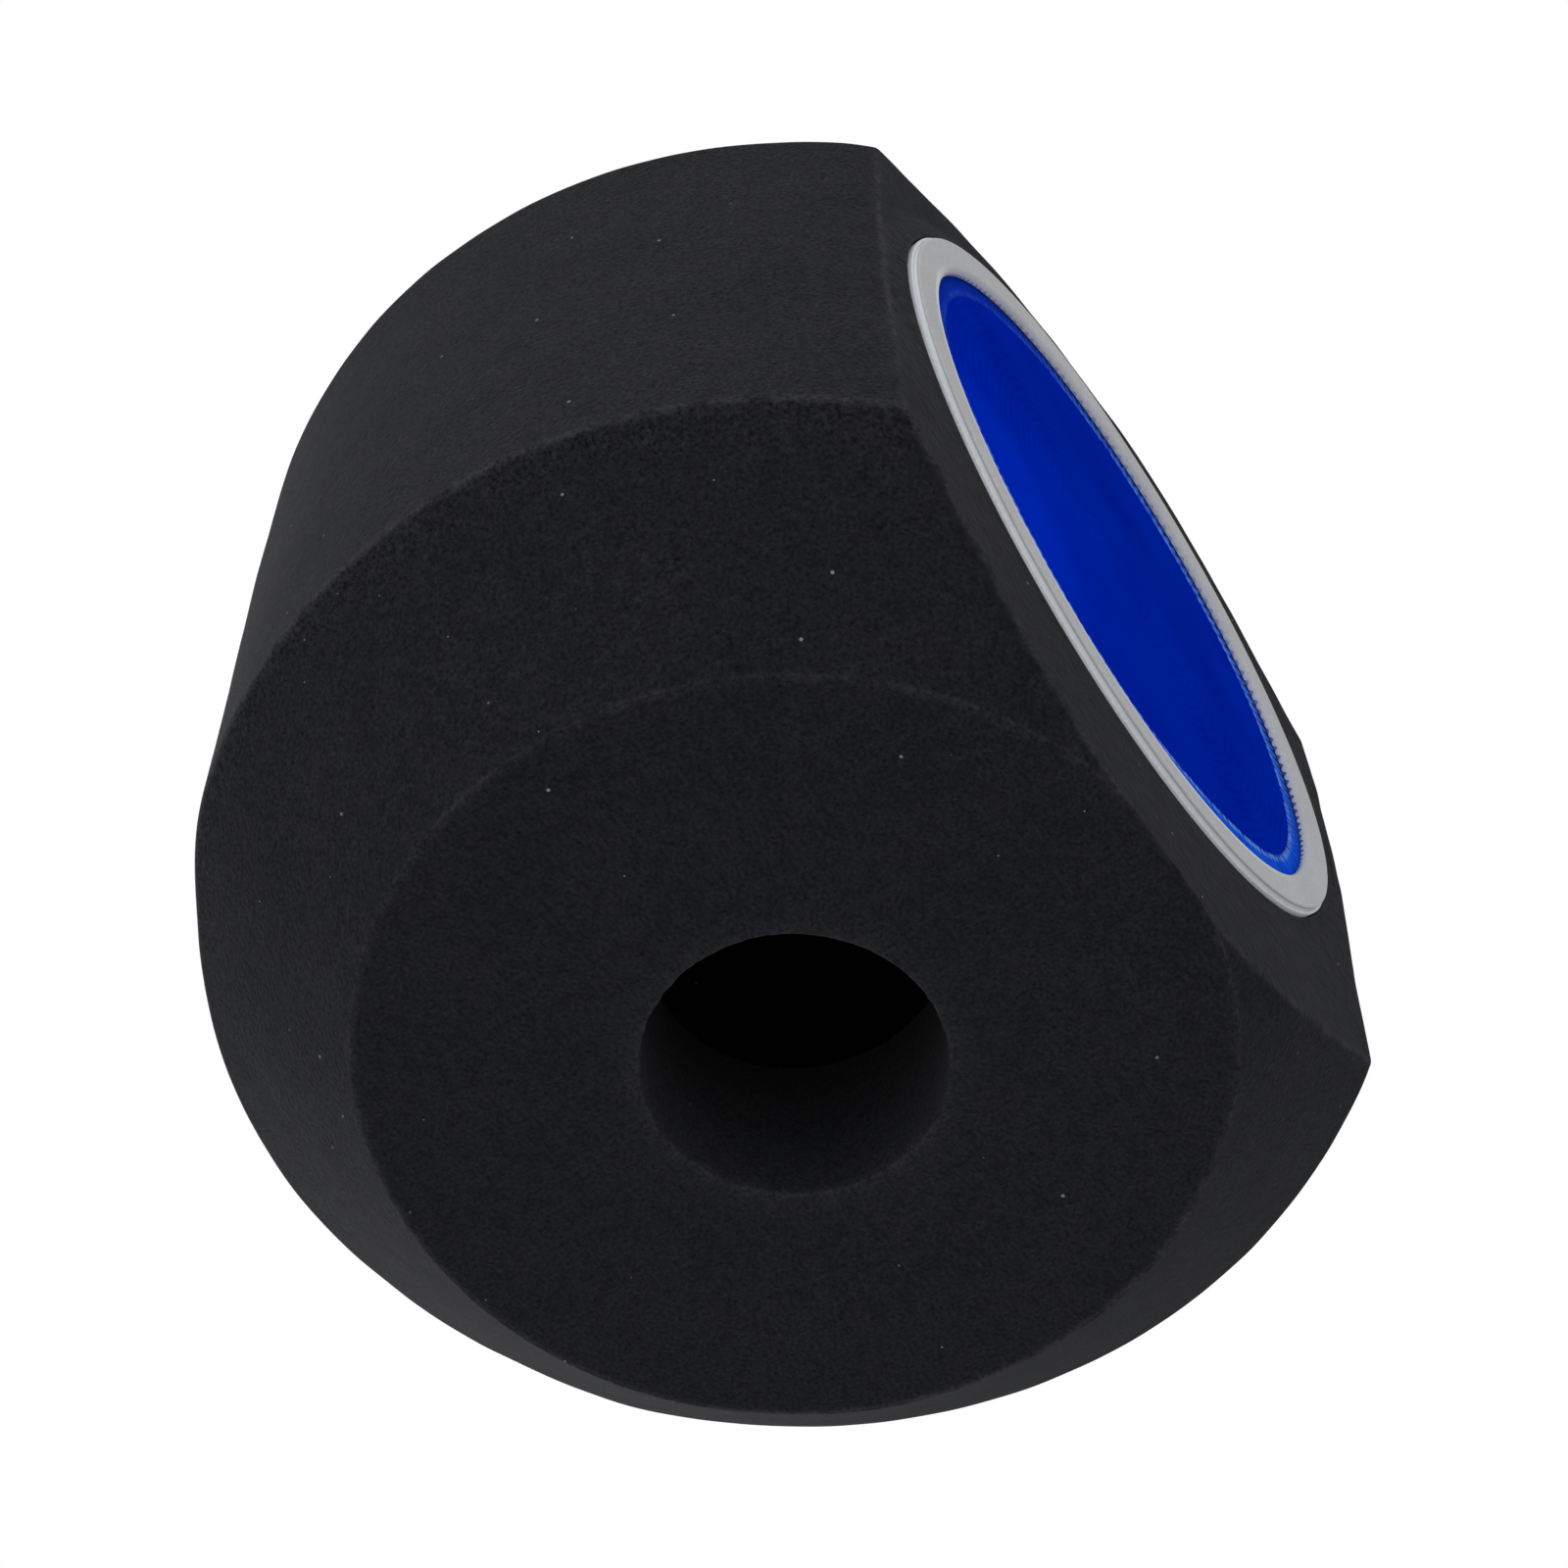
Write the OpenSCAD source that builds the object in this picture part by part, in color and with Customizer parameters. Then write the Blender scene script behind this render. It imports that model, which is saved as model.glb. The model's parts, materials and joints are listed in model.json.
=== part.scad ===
// Microphone isolation shield: a foam block with a flat front, a microphone bore through its
// base, a hollow chamber, and a round two-layer pop filter that pulls out of the front.
// The origin is the centre of the microphone bore at the base face. The filter faces -Y.

/* [Foam block] */
// Diameter of the block's cylindrical band
body_dia = 184; // [182:1:200]
// Height of the block
body_h = 163; // [160:1:175]
// Height of the conical chamfer at each end
chamfer_h = 31; // [20:1:33]
// How far each chamfer runs inwards
chamfer_run = 28; // [16:1:30]
// Distance from the block's axis to its flat front
front_y = 63.2; // [60:0.2:64]
// Diameter of the microphone bore
mic_bore_dia = 45; // [38:0.5:52]
// Diameter of the hollow chamber
chamber_dia = 120; // [112:1:121]
// Height of the centre of the chamber and of the filter above the base
filter_z = 88.5; // [86:0.5:90]

/* [Pop filter] */
// Outer diameter of the hoop
filter_dia = 124.2; // [122.2:0.2:126]
// Clear diameter inside the front and rear rings
window_dia = 110.4; // [105:0.2:110.4]
// How far the filter stands out of the foam
filter_proud = 1.3; // [0.4:0.1:3]
// Thickness of the front and rear rings
ring_t = 1.4; // [1.2:0.1:2.4]
// Depth of the hoop between the two rings
hoop_depth = 6.8; // [5:0.1:9]
// How far the hoop's inner lip reaches in past the rings
lip_w = 3.6; // [1.5:0.1:5]
// Thickness of each mesh disc
mesh_t = 0.3; // [0.2:0.05:0.5]

/* [Hidden] */
$fn = 96;
foam_black = "#1b1b1d";
ring_grey = "#a8abae";
mesh_blue = "#0a3cc8";

body_r = body_dia / 2;
base_r = body_r - chamfer_run;
chamber_r = chamber_dia / 2;
filter_r = filter_dia / 2;
window_r = window_dia / 2;
hoop_step = 0.4;              // the rings are this much smaller in radius than the hoop
hoop_inner_r = window_r - lip_w;
mesh_r = window_r + 3.5;
mesh_play = 0.1;              // radial room round each mesh disc in its rebate
ring_edge = 0.6;              // rounding of the rings' outer-facing corners
lip_edge = 0.8;               // rounding of the hoop's inner corners
filter_depth = 2 * ring_t + hoop_depth;
seat_play = 0.3;              // radial room between the hoop and the foam
seat_floor_gap = 0.2;         // room behind the rear ring
seat_depth = filter_depth - filter_proud + seat_floor_gap;
over = 1;                     // how far a cutting tool runs past the faces it cuts

// Places its children on the filter's axis: local z = 0 is the front ring's face, +z points out.
module on_filter_axis() {
    translate([0, -front_y - filter_proud, filter_z]) rotate([90, 0, 0]) children();
}

// The block before it is hollowed: half of its section, turned about the vertical axis.
module turned_block() {
    rotate_extrude()
        polygon([
            [0, 0], [base_r, 0], [body_r, chamfer_h], [body_r, body_h - chamfer_h],
            [base_r, body_h], [0, body_h]
        ]);
}

// A cylinder from the flat front to the block's axis, closed by a half ball.
module chamber() {
    translate([0, 0, filter_z]) {
        sphere(chamber_r);
        rotate([90, 0, 0]) cylinder(r = chamber_r, h = front_y + over);
    }
}

module filter_seat() {
    translate([0, -front_y - over, filter_z]) rotate([-90, 0, 0])
        cylinder(r = filter_r + seat_play, h = seat_depth + over);
}

module foam_body() {
    color(foam_black)
    difference() {
        turned_block();
        translate([-body_r - over, -body_r - over, -over])
            cube([body_dia + 2 * over, body_r - front_y + over, body_h + 2 * over]);
        chamber();
        filter_seat();
        translate([0, 0, -over]) cylinder(d = mic_bore_dia, h = filter_z);
    }
}

// Section of a flat ring that lies between z = 0 and z = -ring_t, with its two upper corners round.
module ring_section() {
    r_out = filter_r - hoop_step;
    width = r_out - window_r;
    translate([window_r, -ring_t]) square([width, ring_t - ring_edge]);
    translate([window_r + ring_edge, -ring_t]) square([width - 2 * ring_edge, ring_t]);
    for (x = [window_r + ring_edge, r_out - ring_edge])
        translate([x, -ring_edge]) circle(ring_edge);
}

// Section of the hoop, with its inner corners round and a rebate for a mesh disc at each end.
module hoop_section() {
    rebate_r = mesh_r + mesh_play;
    translate([rebate_r, 0]) square([filter_r - rebate_r, hoop_depth]);
    translate([hoop_inner_r, mesh_t + lip_edge])
        square([filter_r - hoop_inner_r, hoop_depth - 2 * (mesh_t + lip_edge)]);
    translate([hoop_inner_r + lip_edge, mesh_t])
        square([filter_r - hoop_inner_r - lip_edge, hoop_depth - 2 * mesh_t]);
    for (y = [mesh_t + lip_edge, hoop_depth - mesh_t - lip_edge])
        translate([hoop_inner_r + lip_edge, y]) circle(lip_edge);
}

module mesh_disc() {
    color(mesh_blue) cylinder(r = mesh_r, h = mesh_t);
}

module front_ring() {
    color(ring_grey) on_filter_axis() rotate_extrude() ring_section();
}

module front_mesh() {
    on_filter_axis() translate([0, 0, -ring_t - mesh_t]) mesh_disc();
}

module filter_hoop() {
    color(ring_grey) on_filter_axis() translate([0, 0, -ring_t - hoop_depth])
        rotate_extrude() hoop_section();
}

module rear_mesh() {
    on_filter_axis() translate([0, 0, -ring_t - hoop_depth]) mesh_disc();
}

module rear_ring() {
    color(ring_grey) on_filter_axis() translate([0, 0, -filter_depth]) mirror([0, 0, 1])
        rotate_extrude() ring_section();
}

foam_body();
front_ring();
front_mesh();
filter_hoop();
rear_mesh();
rear_ring();
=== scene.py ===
"""Looks of the microphone isolation shield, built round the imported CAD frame.

The foam block is rebuilt as one grid mesh whose rows follow every edge. It is hollowed, given the
low waves of soft foam, and settled into the small errors of a block cut by hand. The pop filter's
rings and hoop are turned from fine sections, and its two meshes are discs of woven nylon.
"""

import json
import math

import bmesh
import bpy
import numpy as np
from mathutils import Matrix, Vector, noise

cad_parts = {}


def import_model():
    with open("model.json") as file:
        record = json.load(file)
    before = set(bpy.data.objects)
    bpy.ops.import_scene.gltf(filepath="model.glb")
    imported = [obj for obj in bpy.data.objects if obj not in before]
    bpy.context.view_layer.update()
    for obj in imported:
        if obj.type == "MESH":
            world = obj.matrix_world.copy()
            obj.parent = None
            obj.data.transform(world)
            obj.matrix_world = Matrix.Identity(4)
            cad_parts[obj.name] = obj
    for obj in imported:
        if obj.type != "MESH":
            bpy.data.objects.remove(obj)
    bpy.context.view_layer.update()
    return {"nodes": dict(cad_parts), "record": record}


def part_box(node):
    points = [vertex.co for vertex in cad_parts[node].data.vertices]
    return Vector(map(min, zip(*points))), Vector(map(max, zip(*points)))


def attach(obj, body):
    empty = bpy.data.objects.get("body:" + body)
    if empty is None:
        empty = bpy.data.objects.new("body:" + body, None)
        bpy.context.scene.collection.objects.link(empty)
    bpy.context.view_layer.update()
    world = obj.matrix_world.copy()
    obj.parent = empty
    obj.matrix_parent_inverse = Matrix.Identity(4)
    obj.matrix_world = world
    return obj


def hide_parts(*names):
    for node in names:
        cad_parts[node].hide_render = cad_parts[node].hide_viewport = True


MM = 0.001
TINY = 0.01 * MM

# Camera: below the block and to its left, looking up at a point close to its middle.
CAMERA_AIM = Vector((-0.00133, 0.00137, 0.08168))
CAMERA_AZIMUTH = math.radians(-55.392)
CAMERA_ELEVATION = math.radians(-60.066)
CAMERA_ROLL = math.radians(0.541)
CAMERA_DISTANCE = 0.6197
CAMERA_LENS = 87.17
CAMERA_SENSOR = 36.0

# Lights: name, place, side and power in watts. Each one points at the block's middle.
LIGHTS = (
    ("key", (-0.9, -0.75, 0.75), 0.9, 1.85),
    ("left_back", (-1.1, 0.4, 0.4), 0.9, 4.0),
    ("low_left", (-0.8, -0.3, -0.9), 1.0, 2.8),
    ("top_back", (0.4, 0.9, 1.0), 0.9, 6.2),
    ("low_right", (0.9, 0.65, -0.35), 0.9, 1.0),
    ("right_back", (0.55, 1.1, 0.35), 0.9, 2.0),
)
BACKDROP_SEEN = 1.0               # how bright the backdrop is to the camera
BACKDROP_LIGHT = 0.48             # and as a light on the object
FLOOR_HALF_WIDTH = 3.0
FLOOR_DROP = 0.4 * MM             # keeps the floor clear of the block's base
FLOOR_FADE = (0.25, 2.0)          # how far out the floor begins to fade, and where it is gone
FLOOR_LIFT = 0.34                 # the floor's own light, which keeps it pale

# Foam block: sizes that the CAD boxes don't give.
CHAMBER_R = 60.0 * MM
CUT_OVERLAP = 3 * MM              # how far outside the seat's floor the chamber's cut starts
SEAT_INNER_R = 56.0 * MM          # the inner edge of the seat's floor, before that cut
SEAT_GAP = 0.3 * MM               # clearance round the hoop
SEAT_FLOOR_GAP = 0.2 * MM         # and behind the rear ring
BORE_OVERRUN = 6 * MM             # how far the bore's own cut runs on into the chamber
HUB_R = 2 * MM                    # the small cap in the middle of the top
EDGE_ROUND = 0.6 * MM
BASE_SKIN = 0.3 * MM              # points no higher than this lie in the base
SHARP_ANGLE = math.radians(50)

# Foam block: distances between the grid's rows, from an edge inwards, and far from any edge.
FINE_STEPS = np.array([0.2, 0.22, 0.28, 0.4, 0.6, 1.0]) * MM
FINE_ROOM = 2.6                   # less room than this many times their sum squeezes them
COARSE_STEP = 1.7 * MM
BORE_STEP = 2.6 * MM
WELD = 0.002 * MM                 # points this close become one

# Foam block: how far its side is out of true. Each error has its size in mm, and the turns in
# degrees from +X at which it begins, is full, starts to fade and is gone.
LOW_RIM_ERRORS = ((-1.38, 48, 66, 126, 143), (-0.7, 300, 315, 330, 355))
HIGH_RIM_ERRORS = ((1.0, 112, 139, 150, 178), (0.35, 160, 174, 184, 205))
WAIST_ERRORS = ((1.1, 295, 314, 324, 350),)

# Foam block: fuzzy edges with a painted highlight, and round the bore a painted highlight and a
# torn lip.
FUZZ_AND_HIGHLIGHT_WIDTH = 0.5 * MM
BORE_HIGHLIGHT_WIDTH = 2.4 * MM
TORN_WIDTH = 0.8 * MM

# Pop filter: the hoop stands up a little round each ring.
RING_INSET = 0.2 * MM
RIM_T = 0.56 * MM
RIM_PROUD = 0.45 * MM
MESH_SLACK = 0.5 * MM
WEAVE_PITCH = 0.42 * MM
TEETH = 165                       # points of the mesh's cut edge, round the window

# Colours.
FOAM_BLACKS = ((0.0116, 0.0126, 0.0160), (0.0150, 0.0155, 0.0180))
FOAM_TINTS = ((0.985, 1.0, 1.04), (1.02, 1.0, 0.985))
FOAM_SHEEN = (0.75, 0.76, 0.8, 1)
# the pale grey of the fuzzy edges and their painted highlight
FUZZ_AND_HIGHLIGHT_GREY = (0.056, 0.056, 0.060)
LINT_GREY = (0.26, 0.26, 0.27)
RING_GREYS = ((0.58, 0.585, 0.61), (0.64, 0.645, 0.67))
HOOP_GREYS = ((0.80, 0.84, 0.90), (0.88, 0.91, 0.95))
# Painted shadow line and painted light on a ring's outer side.
PAINTED_SIDE_SHADOW_GREY = (0.46, 0.48, 0.52)
PAINTED_SIDE_LIGHT_GREY = (0.92, 0.95, 0.98)
# Painted highlights along a ring's edges.
EDGE_HIGHLIGHT_GREY = (0.93, 0.94, 0.98)
THREAD_BLUE = (0.0, 0.06, 0.36)
CLOTH_BLUES = ((0.0, 0.0225, 0.58), (0.0, 0.0322, 0.70))
# Painted light over the hoop's lip, and a painted highlight line along it.
PAINTED_LIGHT_BAND_BLUES = ((0.010, 0.13, 1.0), (0.07, 0.20, 0.95))
PAINTED_HIGHLIGHT_LINE_BLUE = (0.22, 0.44, 1.0)
CUT_BLUE = (0.0, 0.03, 0.30)
FLOOR_GREY = (0.62, 0.62, 0.625, 1)

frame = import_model()


# ---------------------------------------------------------------- sizes from the frame
def vertices_of(node):
    """The CAD node's vertices as an array."""
    mesh = frame["nodes"][node].data
    co = np.zeros(len(mesh.vertices) * 3)
    mesh.vertices.foreach_get("co", co)
    return co.reshape(-1, 3)


foam_lo, foam_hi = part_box("foam_body")
hoop_lo, hoop_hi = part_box("filter_hoop")
front_lo, front_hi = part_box("front_ring")
rear_lo, rear_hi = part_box("rear_ring")
mesh_lo, mesh_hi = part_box("front_mesh")
bore_dims = frame["record"]["mounts"][0]["dims"]

BODY_R = foam_hi.x
BODY_H = foam_hi.z
FRONT_Y = foam_lo.y
BORE_R = bore_dims["r_mm"] * MM
BORE_LENGTH = bore_dims["length_mm"] * MM
FILTER_Z = (hoop_lo.z + hoop_hi.z) / 2
HOOP_R = hoop_hi.x
SEAT_R = HOOP_R + SEAT_GAP
SEAT_FLOOR_Y = rear_hi.y + SEAT_FLOOR_GAP

foam_points = vertices_of("foam_body")
foam_radii = np.hypot(foam_points[:, 0], foam_points[:, 1])
BASE_R = foam_radii[foam_points[:, 2] < TINY].max()
CHAMFER_H = foam_points[foam_radii > BODY_R - TINY, 2].min()
CHAMFER_RUN = BODY_R - BASE_R
CHAMFER_SLANT = math.hypot(CHAMFER_RUN, CHAMFER_H)


def smallest_radius(node):
    """The node's smallest distance from the pop filter's axis."""
    co = vertices_of(node)
    return np.hypot(co[:, 0], co[:, 2] - FILTER_Z).min()


WINDOW_R = smallest_radius("front_ring")
RING_R = front_hi.x - RING_INSET
LIP_R = smallest_radius("filter_hoop")
MESH_R = mesh_hi.x
MESH_T = mesh_hi.y - mesh_lo.y


# ---------------------------------------------------------------- mesh helpers
def new_piece(name, verts, faces):
    """A mesh object from an array of points and lists of point numbers."""
    mesh = bpy.data.meshes.new(name)
    mesh.from_pydata([tuple(v) for v in verts], [], faces)
    mesh.validate()
    mesh.polygons.foreach_set("use_smooth", [True] * len(mesh.polygons))
    piece = bpy.data.objects.new(name, mesh)
    bpy.context.scene.collection.objects.link(piece)
    return piece


class Patches:
    """Collects grids of points, each closed round or not, into one list of points and faces."""

    def __init__(self):
        self.points = []
        self.faces = []
        self.count = 0

    def grid(self, rows, closed):
        """rows is an array (rows, columns, 3). closed joins the last column to the first."""
        m, n = rows.shape[:2]
        start = self.count
        self.points.append(rows.reshape(-1, 3))
        self.count += m * n
        for j in range(m - 1):
            for i in range(n if closed else n - 1):
                k = (i + 1) % n
                self.faces.append([
                    start + j * n + i,
                    start + j * n + k,
                    start + (j + 1) * n + k,
                    start + (j + 1) * n + i,
                ])

    def cap(self, loop):
        """Closes a loop of points with a small fan round its middle."""
        n = len(loop)
        start = self.count
        self.points.append(np.vstack([loop, loop.mean(0)]))
        self.count += n + 1
        for i in range(n):
            self.faces.append([start + i, start + (i + 1) % n, start + n])

    def piece(self, name):
        """The collected grids as one object, with their shared borders welded."""
        piece = new_piece(name, np.vstack(self.points), self.faces)
        work = bmesh.new()
        work.from_mesh(piece.data)
        bmesh.ops.remove_doubles(work, verts=work.verts, dist=WELD)
        bmesh.ops.recalc_face_normals(work, faces=work.faces)
        work.to_mesh(piece.data)
        work.free()
        return piece


def graded(length, coarse=COARSE_STEP, both=True):
    """Shares from 0 to 1 of a length, close together at its start, and at its end if both."""
    near = np.concatenate([[0], np.cumsum(FINE_STEPS)])
    far = length - near[::-1] if both else np.array([length])
    inner = max(2, round((far[0] - near[-1]) / coarse))
    between = np.linspace(near[-1], far[0], inner + 1)[1:-1]
    return np.concatenate([near, between, far]) / length


def span_rows(inner, outer, rows):
    """Rows of points from one loop to another, close to each end by the same real distances."""
    gap = np.linalg.norm(outer - inner, axis=1)
    near = np.concatenate([[0], np.cumsum(FINE_STEPS)])
    squeeze = np.minimum(1, gap / (FINE_ROOM * near[-1]))
    starts = near[:, None] * squeeze[None, :]
    ends = gap[None, :] - starts[::-1]
    share = np.linspace(0, 1, rows + 1)[1:-1, None]
    middle = starts[-1] + (ends[0] - starts[-1]) * share
    along = np.concatenate([starts, middle, ends]) / gap[None, :]
    return inner[None] + (outer - inner)[None] * along[..., None]


def coordinates(piece):
    """The piece's vertices as an array."""
    co = np.zeros(len(piece.data.vertices) * 3)
    piece.data.vertices.foreach_get("co", co)
    return co.reshape(-1, 3)


def set_coordinates(piece, co):
    """Writes an array back to the piece's vertices."""
    piece.data.vertices.foreach_set("co", co.astype(np.float32).ravel())
    piece.data.update()


def vertex_normals(piece):
    """The piece's vertex normals as an array."""
    normals = np.zeros(len(piece.data.vertices) * 3)
    piece.data.vertex_normals.foreach_get("vector", normals)
    return normals.reshape(-1, 3)


def point_attribute(piece, name, values):
    """A number at each vertex that a material can read."""
    attribute = piece.data.attributes.new(name, "FLOAT", "POINT")
    attribute.data.foreach_set("value", values.astype(np.float32))


def waves(co, size, seed=0.0):
    """Smooth noise from about -1 to 1 at each point, with lumps of about the size."""
    shift = Vector((seed, 0, 0))
    return np.array([noise.noise(Vector(p) / size + shift) for p in co])


def step(value, start, end):
    """A smooth step from 0 at start to 1 at end."""
    share = np.clip((value - start) / (end - start), 0, 1)
    return share * share * (3 - 2 * share)


def hill(value, rise, top, drop, foot):
    """0 up to rise, 1 from top to drop, and 0 again from foot."""
    return step(value, rise, top) * (1 - step(value, drop, foot))


def bell(value, middle, width):
    """1 at the middle, and a smooth fall on both sides to about a third at the width."""
    return np.exp(-(((value - middle) / width) ** 2))


# ---------------------------------------------------------------- foam block
def foam_terms(p):
    """Distance outside each of the block's faces, one row per face."""
    x, y, z = p.T
    rho = np.hypot(x, y)
    filter_rho = np.hypot(x, z - FILTER_Z)
    return np.array([
        -z,
        z - BODY_H,
        rho - BODY_R,
        ((rho - BASE_R) * CHAMFER_H - z * CHAMFER_RUN) / CHAMFER_SLANT,
        ((rho - BASE_R) * CHAMFER_H - (BODY_H - z) * CHAMFER_RUN) / CHAMFER_SLANT,
        FRONT_Y - y,
        np.minimum(BORE_R - rho, BORE_LENGTH + BORE_OVERRUN - z),
        np.minimum(SEAT_R - filter_rho, SEAT_FLOOR_Y - y),
    ])


def foam_distance(p):
    """Distance outside the block with its edges rounded."""
    terms = foam_terms(p)
    near = np.maximum(terms + EDGE_ROUND, 0)
    rounded = np.linalg.norm(near, axis=0) - EDGE_ROUND
    return np.where(near.max(0) > 0, rounded, terms.max(0))


def round_edges(p):
    """Moves points onto the block's rounded surface, in five steps down the slope."""
    for _ in range(5):
        slope = np.array([
            (foam_distance(p + TINY * axis) - foam_distance(p - TINY * axis)) / (2 * TINY)
            for axis in np.eye(3)
        ]).T
        steepness = np.maximum((slope**2).sum(1), 0.2)
        p = p - (foam_distance(p) / steepness)[:, None] * slope
    return p


def side_skin():
    """The round side and both chamfers, from one corner of the flat round the back to the other."""
    cone = graded(CHAMFER_SLANT)
    band = graded(BODY_H - 2 * CHAMFER_H)
    radius = np.concatenate([
        BASE_R + CHAMFER_RUN * cone,
        np.full(len(band) - 2, BODY_R),
        BODY_R - CHAMFER_RUN * cone,
    ])
    height = np.concatenate([
        CHAMFER_H * cone,
        (CHAMFER_H + (BODY_H - 2 * CHAMFER_H) * band)[1:-1],
        BODY_H - CHAMFER_H + CHAMFER_H * cone,
    ])
    corner = np.arccos(-FRONT_Y / radius)
    around = graded(2 * (math.pi - corner.max()) * BODY_R)
    angle = corner[:, None] + around[None, :] * 2 * (math.pi - corner)[:, None]
    return np.stack([
        radius[:, None] * np.sin(angle),
        -radius[:, None] * np.cos(angle),
        np.broadcast_to(height[:, None], angle.shape),
    ], axis=-1)


def chord(a, b):
    """Points strictly between two corners of the flat, close together at both."""
    share = graded(np.linalg.norm(b - a))[1:-1]
    return a + (b - a) * share[:, None]


def circle_by(loop, radius, centre, axes):
    """A circle in the plane of two axes, with its points at the angles of a loop's points."""
    u, v = loop[:, axes[0]] - centre[axes[0]], loop[:, axes[1]] - centre[axes[1]]
    reach = np.hypot(u, v)
    points = np.tile(np.asarray(centre, float), (len(loop), 1))
    points[:, axes[0]] += radius * u / reach
    points[:, axes[1]] += radius * v / reach
    return points


def foam_shell():
    """The block with its bore and seat, still solid inside."""
    patches = Patches()
    side = side_skin()
    patches.grid(side, closed=False)

    base = np.vstack([side[0], chord(side[0, -1], side[0, 0])])
    mouth = circle_by(base, BORE_R, (0, 0, 0), (0, 1))
    patches.grid(span_rows(mouth, base, rows=20), closed=True)
    depth = (BORE_LENGTH + BORE_OVERRUN) * graded(BORE_LENGTH, BORE_STEP, both=False)
    bore = np.repeat(mouth[None], len(depth), axis=0)
    bore[..., 2] = depth[:, None]
    patches.grid(bore, closed=True)
    patches.cap(bore[-1])

    top = np.vstack([side[-1], chord(side[-1, -1], side[-1, 0])])
    hub = circle_by(top, HUB_R, (0, 0, BODY_H), (0, 1))
    patches.grid(span_rows(hub, top, rows=14), closed=True)
    patches.cap(hub)

    outline = np.vstack([
        side[:, 0],
        chord(side[-1, -1], side[-1, 0])[::-1],
        side[::-1, -1],
        chord(side[0, -1], side[0, 0]),
    ])
    rim = circle_by(outline, SEAT_R, (0, FRONT_Y, FILTER_Z), (0, 2))
    patches.grid(span_rows(rim, outline, rows=8), closed=True)
    depth = (SEAT_FLOOR_Y - FRONT_Y) * graded(SEAT_FLOOR_Y - FRONT_Y, both=False)
    seat = np.repeat(rim[None], len(depth), axis=0)
    seat[..., 1] += depth[:, None]
    patches.grid(seat, closed=True)
    floor_edge = circle_by(seat[-1], SEAT_INNER_R, (0, SEAT_FLOOR_Y, FILTER_Z), (0, 2))
    patches.grid(np.stack([seat[-1], floor_edge]), closed=True)
    patches.cap(floor_edge)
    return patches.piece("foam_block")


def chamber_tool():
    """The hollow: a cylinder from outside the seat's floor to the block's axis, and a half ball."""
    turns = np.linspace(0, 2 * math.pi, 160, endpoint=False)
    ball = np.linspace(0, math.pi / 2, 30)[:-1]
    straight = np.linspace(SEAT_FLOOR_Y - CUT_OVERLAP, 0, 16)[:-1]
    depth = np.concatenate([straight, CHAMBER_R * np.sin(ball)])
    radius = np.concatenate([np.full(len(straight), CHAMBER_R), CHAMBER_R * np.cos(ball)])
    rows = np.stack([
        radius[:, None] * np.cos(turns),
        np.broadcast_to(depth[:, None], (len(depth), len(turns))),
        FILTER_Z + radius[:, None] * np.sin(turns),
    ], axis=-1)
    patches = Patches()
    patches.grid(rows, closed=True)
    patches.cap(rows[0])
    patches.cap(rows[-1])
    return patches.piece("chamber_tool")


def cut(piece, tool):
    """Takes the tool's volume out of the piece, and removes the tool."""
    modifier = piece.modifiers.new("cut", "BOOLEAN")
    modifier.operation = "DIFFERENCE"
    modifier.solver = "EXACT"
    modifier.object = tool
    bpy.context.view_layer.update()
    evaluated = piece.evaluated_get(bpy.context.evaluated_depsgraph_get())
    mesh = bpy.data.meshes.new_from_object(evaluated)
    piece.modifiers.clear()
    piece.data = mesh
    bpy.data.objects.remove(tool)


def mark_edges(piece):
    """Stores where the foam's edges are fuzzy and carry a painted highlight, also round the bore's
    mouth, "edge", and how far up the bore each point lies, for the bore's painted shade, "deep".
    """
    co = coordinates(piece)
    rho = np.hypot(co[:, 0], co[:, 1])
    terms = np.sort(foam_terms(co), axis=0)
    edge = bell(terms[-2], 0, FUZZ_AND_HIGHLIGHT_WIDTH) * (terms[-1] > -EDGE_ROUND)

    # The base's rim is less fuzzy and has less painted highlight, which is brightest towards +X.
    # The bore's has a little less.
    in_rim = (co[:, 2] < BASE_SKIN) & (rho > BASE_R - 3 * MM)
    rim_fuzz_and_highlight_share = 0.35 + 0.5 * step(co[:, 0] / rho.clip(1 * MM), 0.6, 0.85)
    edge *= np.where(in_rim, rim_fuzz_and_highlight_share, 1.0)
    edge[rho < BORE_R + 8 * MM] *= 0.6

    # A painted highlight round the bore's mouth.
    in_bore_mouth_highlight = (co[:, 2] < 2 * MM) & (rho > BORE_R - 1 * MM)
    bore_mouth_highlight = 0.3 * bell(rho, BORE_R, BORE_HIGHLIGHT_WIDTH) * in_bore_mouth_highlight
    point_attribute(piece, "edge", np.maximum(edge, bore_mouth_highlight))

    # How far up the bore each point lies, for the painted shade that darkens the bore deeper in;
    # elsewhere a value that leaves the tone unchanged.
    in_bore = (rho < BORE_R + 0.5 * MM) & (co[:, 2] < BORE_LENGTH + BORE_OVERRUN + 1 * MM)
    bore_shade_depth = np.where(in_bore, co[:, 2] / BORE_LENGTH, 0.3)
    point_attribute(piece, "bore_shade_depth", bore_shade_depth.clip(0.0, 1.05))


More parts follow.
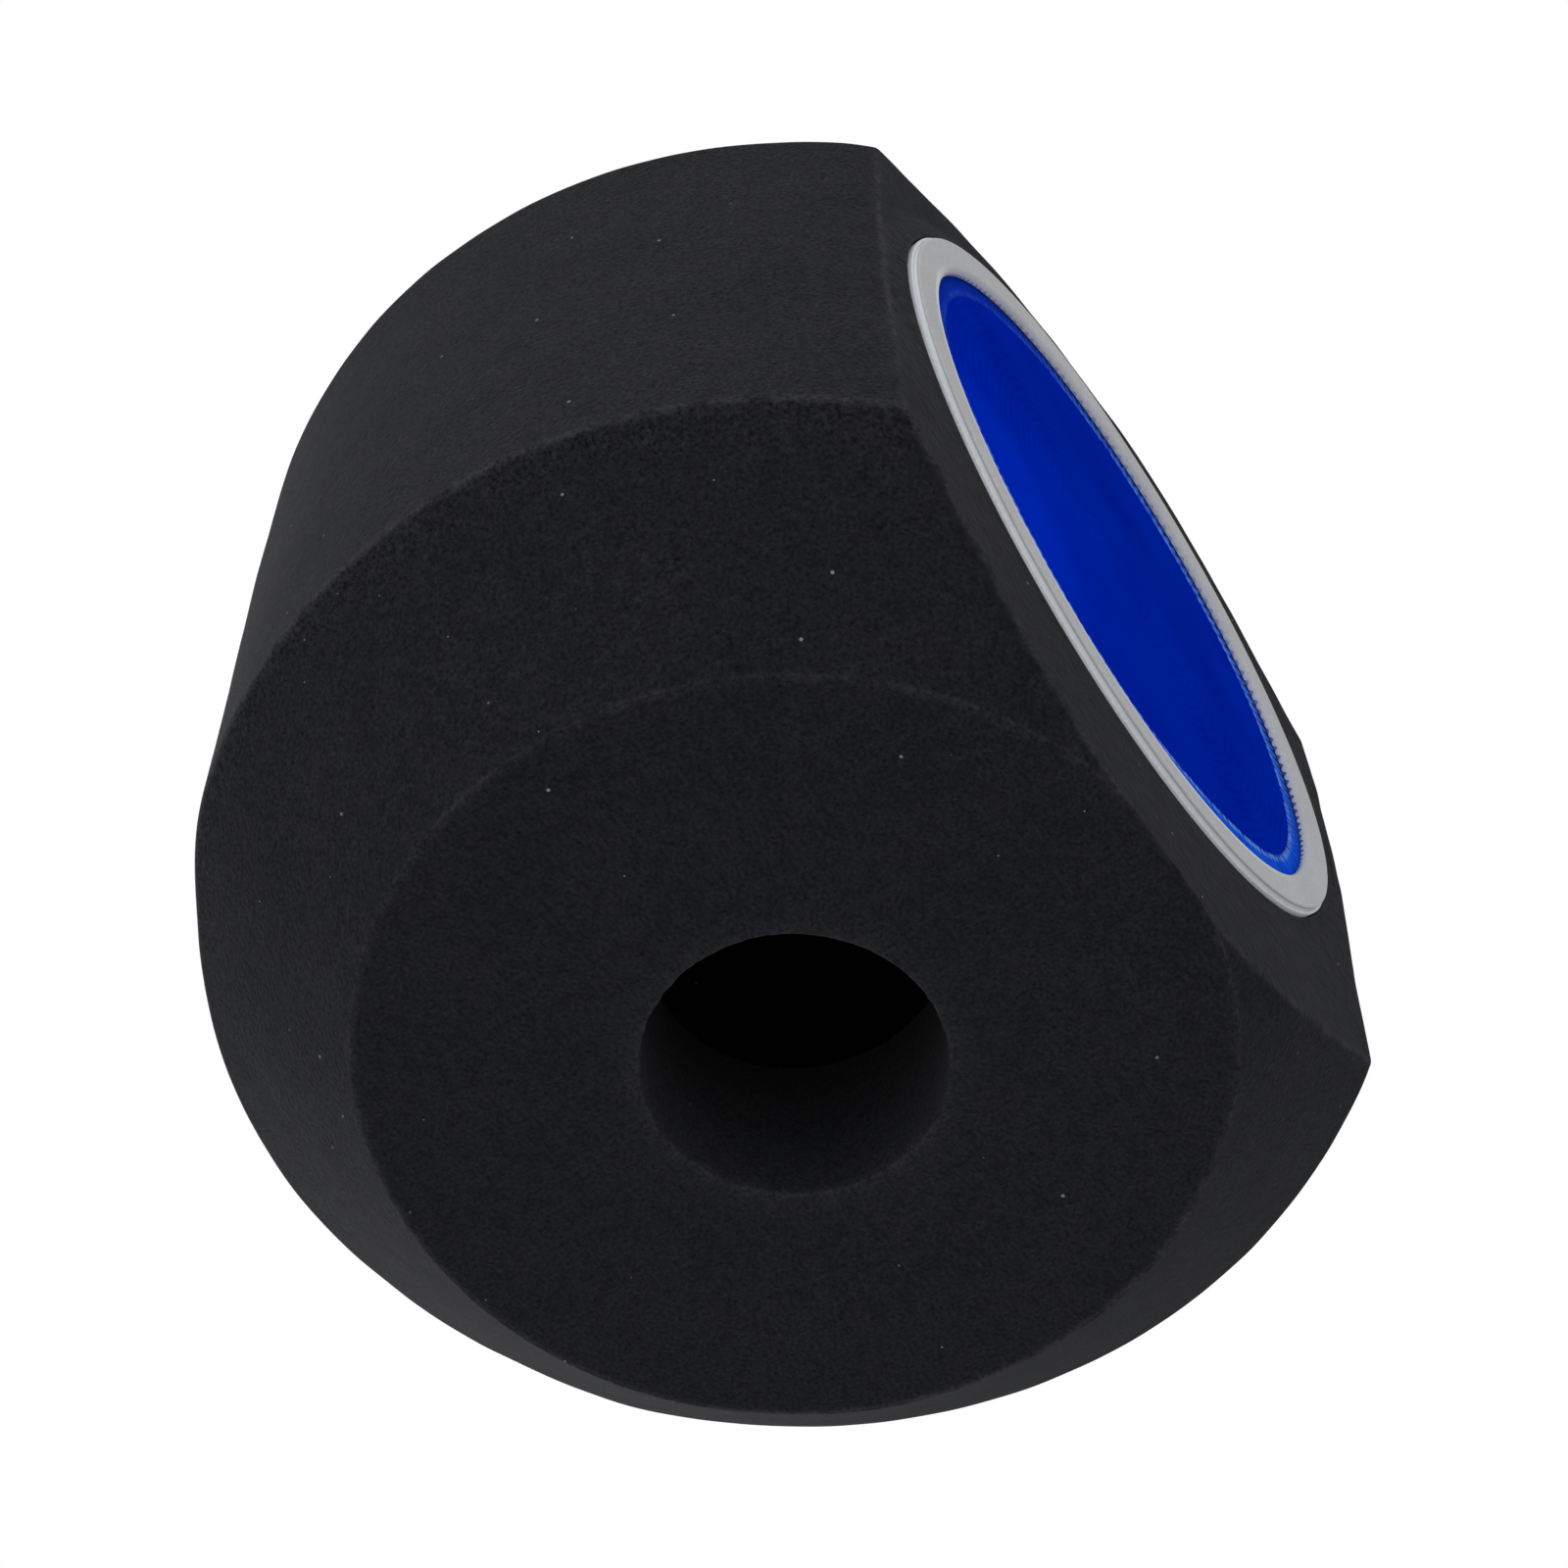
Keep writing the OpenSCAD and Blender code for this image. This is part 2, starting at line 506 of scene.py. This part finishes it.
def soften(piece):
    """Low waves of a soft block, whose faces are never quite flat, and the bore's torn lip."""
    co = coordinates(piece)
    rho = np.hypot(co[:, 0], co[:, 1])
    filter_rho = np.hypot(co[:, 0], co[:, 2] - FILTER_Z)
    in_base = co[:, 2] < BASE_SKIN
    in_lip = co[:, 2] < 1.5 * MM
    near_seat = (filter_rho < SEAT_R + 2 * MM) & (co[:, 1] < SEAT_FLOOR_Y + 1 * MM)

    wave = (0.28 * waves(co, 24 * MM) + 0.08 * waves(co, 7 * MM)) * MM
    wave += 0.2 * MM * waves(co, 1.1 * MM) * bell(rho, BORE_R, TORN_WIDTH) * in_lip
    wave[near_seat] = 0
    wave[in_base] = np.minimum(wave[in_base], 0)
    set_coordinates(piece, co + wave[:, None] * vertex_normals(piece))


def wander(turn, errors):
    """The sum of a list of errors round the block, in millimetres."""
    return sum(size * hill(turn, *turns) for size, *turns in errors)


def settle(piece):
    """The cut foam isn't true: its rims wander from a circle and its flat leans back a little."""
    co = coordinates(piece)
    x, y, z = co.T
    rho = np.maximum(np.hypot(x, y), 0.001 * MM)
    turn = np.degrees(np.arctan2(y, x)) % 360
    low = np.interp(z, [0, CHAMFER_H, BODY_H - CHAMFER_H], [0, 1, 0])
    high = np.interp(z, [CHAMFER_H, BODY_H - CHAMFER_H, BODY_H], [0, 1, 0])
    waist = hill(z, 40 * MM, 85 * MM, 112 * MM, 136 * MM)
    out = low * wander(turn, LOW_RIM_ERRORS) + high * wander(turn, HIGH_RIM_ERRORS)
    out = (out + waist * wander(turn, WAIST_ERRORS)) * MM
    out = out * step(rho, 40 * MM, 60 * MM)

    # Away from the seat, the flat's upper left leans back, and its lower left comes forward.
    filter_rho = np.hypot(x, z - FILTER_Z)
    upper = hill(x, -80 * MM, -66 * MM, -20 * MM, 34 * MM) * step(z, 44 * MM, 95 * MM)
    lower = step(-x, 40 * MM, 62 * MM) * (1 - step(z, 20 * MM, 50 * MM))
    back = (1.3 * upper - 0.5 * lower) * MM
    back = back * step(filter_rho, SEAT_R + 0.5 * MM, SEAT_R + 6 * MM)
    back = back * (1 - step(y, FRONT_Y + 4 * MM, FRONT_Y + 22 * MM))
    inward = 0.945 * step(-x, 50 * MM, 66 * MM) * back
    shift = np.stack([out * x / rho - inward, out * y / rho + back, 0 * z], axis=1)
    set_coordinates(piece, co + shift)


def foam_block():
    """The finished foam piece."""
    piece = foam_shell()
    set_coordinates(piece, round_edges(coordinates(piece)))
    cut(piece, chamber_tool())
    piece.data.set_sharp_from_angle(angle=SHARP_ANGLE)
    mark_edges(piece)
    soften(piece)
    settle(piece)
    return piece


# ---------------------------------------------------------------- pop filter
def turned(name, section, turns=288):
    """Turns a closed section, a list of (radius, y), about the pop filter's axis."""
    angle = np.linspace(0, 2 * math.pi, turns, endpoint=False)
    section = np.array(section)
    rows = np.stack([
        section[:, :1] * np.cos(angle),
        np.broadcast_to(section[:, 1:], (len(section), turns)),
        FILTER_Z + section[:, :1] * np.sin(angle),
    ], axis=-1)
    patches = Patches()
    patches.grid(np.concatenate([rows, rows[:1]]), closed=True)
    return patches.piece(name)


def rounded_section(corners, steps=5):
    """A closed section from corners (radius, y, rounding), each rounded by a small arc."""
    points = [np.array(c[:2], float) for c in corners]
    section = []
    for i, (corner, (_, _, rounding)) in enumerate(zip(points, corners)):
        before, after = points[i - 1], points[(i + 1) % len(points)]
        a = (before - corner) / np.linalg.norm(before - corner)
        b = (after - corner) / np.linalg.norm(after - corner)
        half = math.acos(max(-1.0, min(1.0, float(a @ b)))) / 2
        back = rounding / math.tan(half)
        start, end = corner + a * back, corner + b * back
        bisector = (a + b) / np.linalg.norm(a + b)
        centre = corner + bisector * rounding / math.sin(half)
        for t in np.linspace(0, 1, steps):
            ray = start + (end - start) * t - centre
            section.append(centre + ray / np.linalg.norm(ray) * rounding)
    return section


def filter_ring(name, face_y, back_y):
    """A flat ring of the filter: its face is at face_y and its joint with the hoop at back_y."""
    section = rounded_section([
        (WINDOW_R, back_y, 0.03 * MM),
        (WINDOW_R, face_y, 1.15 * MM),
        (RING_R, face_y, 0.22 * MM),
        (RING_R, back_y, 0.14 * MM),
    ], steps=9)
    return turned(name + "_piece", section)


def filter_hoop():
    """The hoop between the two rings, with an inner lip and a rebate for each mesh."""
    front, back = hoop_lo.y, hoop_hi.y
    rebate = MESH_R + 0.1 * MM
    rim = HOOP_R - RIM_T
    section = rounded_section([
        (rebate, front, 0.05 * MM),
        (rim, front, 0.03 * MM),
        (rim, front - RIM_PROUD, 0.1 * MM),
        (HOOP_R, front - RIM_PROUD, 0.16 * MM),
        (HOOP_R, back + RIM_PROUD, 0.16 * MM),
        (rim, back + RIM_PROUD, 0.1 * MM),
        (rim, back, 0.03 * MM),
        (rebate, back, 0.05 * MM),
        (rebate, back - MESH_T, 0.05 * MM),
        (LIP_R, back - MESH_T, 0.7 * MM),
        (LIP_R, front + MESH_T, 0.7 * MM),
        (rebate, front + MESH_T, 0.05 * MM),
    ])
    return turned("filter_hoop_piece", section)


def mesh_disc(name, node, seed):
    """A disc of stretched mesh, slightly slack inside the hoop's lip."""
    lo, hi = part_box(node)
    y = (lo.y + hi.y) / 2
    radii = np.linspace(0, MESH_R, 60)[1:]
    turns = np.linspace(0, 2 * math.pi, 240, endpoint=False)
    rows = np.stack([
        radii[:, None] * np.cos(turns),
        np.full((len(radii), len(turns)), y),
        FILTER_Z + radii[:, None] * np.sin(turns),
    ], axis=-1)
    patches = Patches()
    patches.grid(rows, closed=True)
    patches.cap(rows[0])
    piece = patches.piece(name)
    co = coordinates(piece)
    rho = np.hypot(co[:, 0], co[:, 2] - FILTER_Z)
    free = np.clip(1 - rho / LIP_R, 0, 1)
    co[:, 1] += MESH_SLACK * np.sqrt(free) * waves(co, 30 * MM, seed)
    set_coordinates(piece, co)
    return piece


# ---------------------------------------------------------------- materials
class Graph:
    """Short names for building a material's nodes."""

    def __init__(self, name):
        self.material = bpy.data.materials.new(name)
        self.material.use_nodes = True
        self.nodes = self.material.node_tree.nodes
        self.links = self.material.node_tree.links
        self.nodes.clear()
        self.output = self.add("ShaderNodeOutputMaterial")

    def add(self, kind, settings=None, **inputs):
        """A node with its settings and inputs; an input is a value or another node's output."""
        node = self.nodes.new(kind)
        for key, value in (settings or {}).items():
            setattr(node, key, value)
        for key, value in inputs.items():
            self.set(node, key, value)
        return node

    def set(self, node, key, value):
        """Sets one input, given by its name with _ for spaces, or by i and its number."""
        by_number = key[1:].isdigit()
        socket = node.inputs[int(key[1:]) if by_number else key.replace("_", " ")]
        if isinstance(value, bpy.types.NodeSocket):
            self.links.new(value, socket)
        else:
            socket.default_value = value

    def finish(self, shader):
        """The material, with a shader node joined to its output."""
        self.links.new(shader.outputs[0], self.output.inputs[0])
        return self.material

    def math(self, operation, a, b=0.0, c=0.0, clamp=False):
        """One calculation with up to three numbers. clamp holds its result to 0 to 1."""
        settings = {"operation": operation, "use_clamp": clamp}
        return self.add("ShaderNodeMath", settings, i0=a, i1=b, i2=c).outputs[0]

    def product(self, first, *others):
        """Numbers multiplied together."""
        for other in others:
            first = self.math("MULTIPLY", first, other)
        return first

    def length(self, a, b):
        """The distance across a along one axis and b along another."""
        squares = self.math("MULTIPLY_ADD", a, a, self.math("MULTIPLY", b, b))
        return self.math("SQRT", squares)

    def span(self, value, start, end, low=0.0, high=1.0):
        """A smooth change from low to high while value goes from start to end."""
        return self.add(
            "ShaderNodeMapRange", {"interpolation_type": "SMOOTHSTEP"},
            Value=value, From_Min=start, From_Max=end, To_Min=low, To_Max=high,
        ).outputs["Result"]

    def position(self):
        """The point's place on the object."""
        return self.add("ShaderNodeTexCoord").outputs["Object"]

    def place(self):
        """The point's x, y and z."""
        split = self.add("ShaderNodeSeparateXYZ", None, Vector=self.position())
        return split.outputs["X"], split.outputs["Y"], split.outputs["Z"]

    def filter_place(self):
        """Place on the pop filter: x, y, height over its axis, and distance from its axis."""
        x, y, z = self.place()
        up = self.math("SUBTRACT", z, FILTER_Z)
        return x, y, up, self.length(x, up)

    def teeth(self, x, up):
        """A wave from -1 to 1, once for each point of the mesh's cut edge."""
        turn = self.math("ARCTAN2", up, x)
        return self.math("SINE", self.math("MULTIPLY", turn, float(TEETH)))

    def attribute(self, name):
        """A number stored at the mesh's vertices."""
        return self.add("ShaderNodeAttribute", {"attribute_name": name}).outputs["Fac"]

    def noise(self, scale, detail, roughness, vector=None):
        """Smooth noise from 0 to 1, at the point's own place unless another is given."""
        return self.add(
            "ShaderNodeTexNoise", None,
            Vector=self.position() if vector is None else vector,
            Scale=scale, Detail=detail, Roughness=roughness,
        ).outputs["Fac"]

    def cells(self, scale):
        """Distance from the nearest of many scattered points."""
        return self.add(
            "ShaderNodeTexVoronoi", {"feature": "F1"}, Vector=self.position(), Scale=scale
        ).outputs["Distance"]

    def ramp(self, value, places, colours):
        """A change from one colour to another while value goes from one place to the other."""
        node = self.add("ShaderNodeValToRGB", None, Fac=value)
        for element, place, colour in zip(node.color_ramp.elements, places, colours):
            element.position = place
            element.color = (*colour, 1)
        return node.outputs["Color"]

    def mix(self, share, a, b, blend="MIX"):
        """Colour a changed by a share to b, or to a times b when blend is MULTIPLY."""
        colours = [(*c, 1) if isinstance(c, tuple) else c for c in (a, b)]
        return self.add(
            "ShaderNodeMix", {"data_type": "RGBA", "blend_type": blend},
            i0=share, i6=colours[0], i7=colours[1],
        ).outputs[2]

    def bump(self, height, distance, strength):
        """The surface's normal, tilted by the slopes of a height."""
        return self.add(
            "ShaderNodeBump", None, Height=height, Distance=distance, Strength=strength
        ).outputs["Normal"]


def foam_grain(g, y):
    """The fine grain, the grain drawn out on the flat by the knife, and where the flat is."""
    grain = g.noise(1500.0, 4.0, 0.7)
    stretched = g.add("ShaderNodeMapping", None, Vector=g.position(), Scale=(0.35, 1.0, 0.8))
    long_grain = g.noise(1100.0, 3.0, 0.6, stretched.outputs[0])
    on_flat = g.span(y, FRONT_Y + 1.6 * MM, FRONT_Y + 0.6 * MM)
    change = g.math("MULTIPLY", g.math("SUBTRACT", long_grain, grain), 0.7)
    drawn = g.math("MULTIPLY_ADD", on_flat, change, grain)
    return grain, drawn, on_flat


def foam_tone(g, drawn, on_flat, x, y, z):
    """How bright the foam is: its grain, painted light on the flat, darker overall and lighter to
    its upper left, blotches, and painted shade deeper in the bore.
    """
    contrast = g.span(g.length(x, y), BODY_R - 6 * MM, BODY_R - 1 * MM, 3.6, 5.4)
    grained = g.math("MULTIPLY_ADD", g.math("SUBTRACT", drawn, 0.5), contrast, 1.0)
    # Painted light on the flat: a little darker overall, and lighter towards its upper left.
    painted_flat_light = g.product(g.span(z, 38 * MM, 62 * MM), g.span(x, -30 * MM, -50 * MM))
    flat_light_paint = g.math("MULTIPLY", on_flat, g.math("MULTIPLY_ADD", painted_flat_light, 0.42, -0.09))
    blotch = g.math("MULTIPLY_ADD", g.noise(380.0, 3.0, 0.6), 0.9, 0.55)
    # Painted shade: the bore darker deeper in.
    fade = g.math("MINIMUM", g.math("SUBTRACT", 1.3, g.attribute("bore_shade_depth")), 1.2)
    return g.product(grained, g.math("ADD", flat_light_paint, 1.0), blotch, fade)


def foam_material():
    """Fine-celled black foam with a soft, felt-like skin, fuzzy edges with painted highlights, and
    a few specks of lint.
    """
    g = Graph("foam_felt")
    x, y, z = g.place()
    grain, drawn, on_flat = foam_grain(g, y)
    black = g.ramp(g.noise(55.0, 4.0, 0.6), (0.3, 0.7), FOAM_BLACKS)
    tint = g.ramp(g.noise(160.0, 2.0, 0.6), (0.4, 0.6), FOAM_TINTS)
    tinted = g.mix(1.0, black, tint, "MULTIPLY")
    toned = g.mix(1.0, tinted, foam_tone(g, drawn, on_flat, x, y, z), "MULTIPLY")

    # Fuzzy edges with a painted highlight, broken up by grain and noise.
    fuzz_and_highlight = g.product(
        g.attribute("edge"),
        g.math("MULTIPLY_ADD", grain, 2.4, -0.5),
        g.span(g.noise(260.0, 2.0, 0.6), 0.35, 0.6, 0.35, 1.1),
    )
    fuzzed_and_highlighted = g.mix(g.math("MULTIPLY", fuzz_and_highlight, 0.85, clamp=True), toned, FUZZ_AND_HIGHLIGHT_GREY)
    lint = g.math("LESS_THAN", g.cells(105.0), 0.03)
    dust = g.math("LESS_THAN", g.cells(150.0), 0.02)
    specks = g.math("MULTIPLY", g.math("MAXIMUM", lint, dust), 0.85)

    height = g.math("ADD", g.math("MULTIPLY", g.cells(1100.0), 0.5), drawn)
    shader = g.add(
        "ShaderNodeBsdfPrincipled", None,
        Base_Color=g.mix(specks, fuzzed_and_highlighted, LINT_GREY),
        Roughness=0.95,
        Normal=g.bump(height, 0.22 * MM, 0.9),
        Specular_IOR_Level=0.08,
        Sheen_Weight=0.05,
        Sheen_Roughness=0.5,
        Sheen_Tint=FOAM_SHEEN,
    )
    return g.finish(shader)


def stuck_threads(g, x, y, up, rho):
    """Where threads of the front mesh's cut edge stand on the front ring's inner wall."""
    joint_y = front_hi.y
    reach = g.span(g.noise(190.0, 2.0, 0.6), 0.3, 0.6, 0.16 * MM, 0.42 * MM)
    tips = g.math("SUBTRACT", joint_y - 0.22 * MM, g.math("MULTIPLY", g.teeth(x, up), reach))
    return g.product(
        g.math("GREATER_THAN", y, tips),
        g.span(rho, WINDOW_R + 0.35 * MM, WINDOW_R + 0.2 * MM),
        g.math("LESS_THAN", y, joint_y + 1 * MM),
        g.span(up, 50 * MM, 10 * MM, 0.4, 0.9),
    )


def painted_edge_highlights(g, x, up, rho):
    """Where painted highlights lie on the ring's outer edge, towards the top, and on its inner
    edge, low down and away from +X.
    """
    outer = g.product(
        g.span(rho, RING_R - 0.4 * MM, RING_R - 0.15 * MM),
        g.span(up, 5 * MM, 40 * MM),
    )
    inner = g.product(
        g.span(rho, WINDOW_R + 1.9 * MM, WINDOW_R + 1.3 * MM),
        g.span(up, 25 * MM, 5 * MM),
        g.span(x, 48 * MM, 25 * MM),
    )
    return g.math("MAXIMUM", outer, inner)


def plastic_material(name, greys, painted_side_share):
    """Light grey moulded plastic, satin, with a faint grain and painted highlights along its edges.

    painted_side_share is how far a ring's outer side is painted paler than its face, as painted
    light, past a painted shadow line next to the face.
    """
    g = Graph(name)
    x, y, up, rho = g.filter_place()
    grain = g.noise(1500.0, 3.0, 0.6)
    grey = g.ramp(g.noise(60.0, 3.0, 0.5), (0.3, 0.7), greys)
    speckled = g.mix(1.0, grey, g.math("MULTIPLY_ADD", grain, 0.5, 0.75), "MULTIPLY")

    face_y = front_lo.y
    on_face = g.span(y, face_y + 0.4 * MM, face_y + 0.15 * MM)
    # Painted light on the ring's outer side, past a painted shadow line next to its face.
    on_side = g.product(
        g.span(rho, RING_R - 0.15 * MM, RING_R - 0.05 * MM),
        g.math("SUBTRACT", 1.0, on_face),
        painted_side_share,
    )
    past_line = g.span(y, face_y + 0.3 * MM, face_y + 0.55 * MM)
    shaded = g.mix(on_side, speckled, g.mix(past_line, PAINTED_SIDE_SHADOW_GREY, PAINTED_SIDE_LIGHT_GREY))
    shaded = g.mix(stuck_threads(g, x, y, up, rho), shaded, THREAD_BLUE)
    # Painted highlights along the front ring's edges, on its face.
    edge_highlight = g.product(painted_edge_highlights(g, x, up, rho), on_face, 0.85)
    shader = g.add(
        "ShaderNodeBsdfPrincipled", None,
        Base_Color=g.mix(edge_highlight, shaded, EDGE_HIGHLIGHT_GREY),
        Roughness=g.math("MULTIPLY_ADD", grain, 0.2, 0.35),
        Normal=g.bump(grain, 0.02 * MM, 0.6),
        Specular_IOR_Level=0.4,
    )
    return g.finish(shader)


def nylon_cloth(g, x, up, rho):
    """The mesh's blue, with painted light brighter to its lower left, and faint rings of beat in
    its weave.
    """
    cloth = g.ramp(g.noise(45.0, 3.0, 0.5), (0.3, 0.7), CLOTH_BLUES)
    away = g.length(g.math("ADD", x, 34 * MM), g.math("ADD", up, 27 * MM))
    # Painted light: a soft pool of light, brightest low on the left.
    shade = g.span(away, 0.0, 46 * MM, 1.10, 0.79)
    rings = g.math("MULTIPLY_ADD", g.noise(30.0, 1.0, 0.5), 26.0, g.math("MULTIPLY", rho, 3300.0))
    beat = g.math("MULTIPLY_ADD", g.math("SINE", rings), 0.05, 1.0)
    return g.mix(1.0, cloth, g.math("MULTIPLY", shade, beat), "MULTIPLY")


def border_with_painted_light(g, cloth, x, up, rho):
    """The cloth with a band of painted light over the hoop's lip, a painted highlight line along
    it, and its toothed cut edge.

    The painted light is brightest at the right, and the band reaches further inwards at the bottom.
    """
    streak = g.noise(420.0, 3.0, 0.7)
    tooth = g.teeth(x, up)
    downward = g.math("MULTIPLY_ADD", x, -0.25, g.math("MULTIPLY", up, -0.97))
    toward_bottom = g.span(g.math("DIVIDE", downward, rho), 0.25, 0.9)
    reach = g.math("MULTIPLY_ADD", toward_bottom, 3.4 * MM, rho)
    lit = g.math("MAXIMUM", g.span(x, -40 * MM, 30 * MM, 0.12, 1.0), toward_bottom)

    # Painted light: the hoop's lit inner wall seen through the cloth, as a pale band.
    band = g.product(
        g.span(reach, LIP_R - 0.1 * MM, LIP_R + 0.8 * MM),
        g.span(streak, 0.3, 0.6, 0.55, 1.0),
        lit,
    )
    cloth = g.mix(band, cloth, g.mix(g.span(up, -25 * MM, 30 * MM), *PAINTED_LIGHT_BAND_BLUES))

    # A painted highlight line along the lip's edge, broken by the teeth and streaks.
    line = g.product(
        g.span(reach, LIP_R - 0.3 * MM, LIP_R + 0.1 * MM),
        g.span(reach, LIP_R + 1.4 * MM, LIP_R + 0.6 * MM),
        lit,
    )
    knotted = g.math("MULTIPLY_ADD", tooth, 0.3, g.span(streak, 0.38, 0.62, 0.05, 0.75))
    cloth = g.mix(g.math("MULTIPLY", line, knotted, clamp=True), cloth, PAINTED_HIGHLIGHT_LINE_BLUE)

    cut_at = g.math("MULTIPLY_ADD", tooth, 1.1 * MM, WINDOW_R - 1.0 * MM)
    past = g.product(
        g.span(g.math("SUBTRACT", rho, cut_at), -0.2 * MM, 0.3 * MM),
        g.span(up, -30 * MM, 10 * MM, 0.25, 0.85),
    )
    return g.mix(past, cloth, CUT_BLUE)


def nylon_material():
    """Fine blue woven nylon, with the holes of its weave, and painted light over the border where
    it is glued.
    """
    g = Graph("blue_nylon_mesh")
    x, _, up, rho = g.filter_place()
    threads = []
    for along in (x, up):
        phase = g.math("MULTIPLY", along, 2 * math.pi / WEAVE_PITCH)
        threads.append(g.math("MULTIPLY_ADD", g.math("SINE", phase), 0.5, 0.5))
    top = g.math("MAXIMUM", *threads)
    shader = g.add(
        "ShaderNodeBsdfPrincipled", None,
        Base_Color=border_with_painted_light(g, nylon_cloth(g, x, up, rho), x, up, rho),
        Roughness=0.8,
        Normal=g.bump(top, 0.08 * MM, 0.7),
        Alpha=g.span(top, 0.28, 0.45, 0.85, 1.0),
        Specular_IOR_Level=0.0,
    )
    return g.finish(shader)


def floor_material():
    """A pale floor that can't be seen from below, and fades into the backdrop far out."""
    g = Graph("pale_floor")
    matt = g.add("ShaderNodeBsdfDiffuse", None, Color=FLOOR_GREY)
    lift = g.add("ShaderNodeEmission", None, Strength=FLOOR_LIFT)
    pale = g.add("ShaderNodeAddShader", None, i0=matt.outputs[0], i1=lift.outputs[0])
    clear = g.add("ShaderNodeBsdfTransparent")
    below = g.add("ShaderNodeNewGeometry").outputs["Backfacing"]
    away = g.add("ShaderNodeVectorMath", {"operation": "LENGTH"}, i0=g.position())
    gone = g.math("MAXIMUM", below, g.span(away.outputs["Value"], *FLOOR_FADE))
    shader = g.add("ShaderNodeMixShader", None, i0=gone, i1=pale.outputs[0], i2=clear.outputs[0])
    return g.finish(shader)


# ---------------------------------------------------------------- stage
def area_light(name, place, aim, size, power):
    """A soft square light at place that points at aim."""
    data = bpy.data.lights.new(name, "AREA")
    data.size = size
    data.energy = power
    light = bpy.data.objects.new(name, data)
    light.location = place
    light.rotation_mode = "QUATERNION"
    light.rotation_quaternion = (Vector(aim) - Vector(place)).to_track_quat("-Z", "Y")
    light.visible_camera = False
    bpy.context.scene.collection.objects.link(light)


def camera():
    """The camera at the photograph's viewing angle."""
    data = bpy.data.cameras.new("camera")
    data.lens = CAMERA_LENS
    data.sensor_width = CAMERA_SENSOR
    data.clip_start = 0.01
    data.clip_end = 20
    cam = bpy.data.objects.new("camera", data)
    bpy.context.scene.collection.objects.link(cam)
    back = Vector((
        math.sin(CAMERA_AZIMUTH) * math.cos(CAMERA_ELEVATION),
        -math.cos(CAMERA_AZIMUTH) * math.cos(CAMERA_ELEVATION),
        math.sin(CAMERA_ELEVATION),
    ))
    level = (-back).to_track_quat("-Z", "Y").to_matrix().to_4x4()
    roll = Matrix.Rotation(CAMERA_ROLL, 4, "Z")
    cam.matrix_world = Matrix.Translation(CAMERA_AIM + back * CAMERA_DISTANCE) @ level @ roll
    bpy.context.scene.camera = cam


def world():
    """A white backdrop that lights the object only a little."""
    made = bpy.data.worlds.new("world")
    made.use_nodes = True
    nodes, links = made.node_tree.nodes, made.node_tree.links
    nodes.clear()
    seen = nodes.new("ShaderNodeLightPath")
    strength = nodes.new("ShaderNodeMapRange")
    strength.inputs["To Min"].default_value = BACKDROP_LIGHT
    strength.inputs["To Max"].default_value = BACKDROP_SEEN
    shine = nodes.new("ShaderNodeBackground")
    output = nodes.new("ShaderNodeOutputWorld")
    links.new(seen.outputs["Is Camera Ray"], strength.inputs["Value"])
    links.new(strength.outputs["Result"], shine.inputs["Strength"])
    shine.inputs["Color"].default_value = (1, 1, 1, 1)
    links.new(shine.outputs[0], output.inputs[0])
    bpy.context.scene.world = made


def floor():
    """The floor under the block, which takes no part in the light on the object."""
    edge, z = FLOOR_HALF_WIDTH, -FLOOR_DROP
    rows = np.array([
        [(-edge, -edge, z), (edge, -edge, z)],
        [(-edge, edge, z), (edge, edge, z)],
    ])
    patches = Patches()
    patches.grid(rows, closed=False)
    piece = patches.piece("floor")
    piece.data.materials.append(floor_material())
    for ray in ("diffuse", "glossy", "transmission", "shadow"):
        setattr(piece, "visible_" + ray, False)
    if piece.data.polygons[0].normal.z < 0:
        piece.data.flip_normals()


# ---------------------------------------------------------------- assembly
foam = foam_block()
foam.data.materials.append(foam_material())
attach(foam, "shield")
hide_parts("foam_body")

ring_plastic = plastic_material("satin_grey_ring", RING_GREYS, painted_side_share=0.85)
hoop_plastic = plastic_material("satin_pale_hoop", HOOP_GREYS, painted_side_share=0.0)
rings = {
    "front_ring": filter_ring("front_ring", front_lo.y, front_hi.y),
    "filter_hoop": filter_hoop(),
    "rear_ring": filter_ring("rear_ring", rear_hi.y, rear_lo.y),
}
for node, ring in rings.items():
    ring.data.materials.append(hoop_plastic if node == "filter_hoop" else ring_plastic)
    ring.data.set_sharp_from_angle(angle=SHARP_ANGLE)
    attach(ring, "pop_filter")
    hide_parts(node)

nylon = nylon_material()
for seed, node in enumerate(("front_mesh", "rear_mesh")):
    disc = mesh_disc(node + "_cloth", node, 5.0 * seed)
    disc.data.materials.append(nylon)
    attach(disc, "pop_filter")
    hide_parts(node)

world()
floor()
camera()
for light_name, light_place, light_size, light_power in LIGHTS:
    area_light(light_name, light_place, (0, 0, BODY_H / 2), light_size, light_power)
bpy.context.scene.view_settings.view_transform = "Standard"
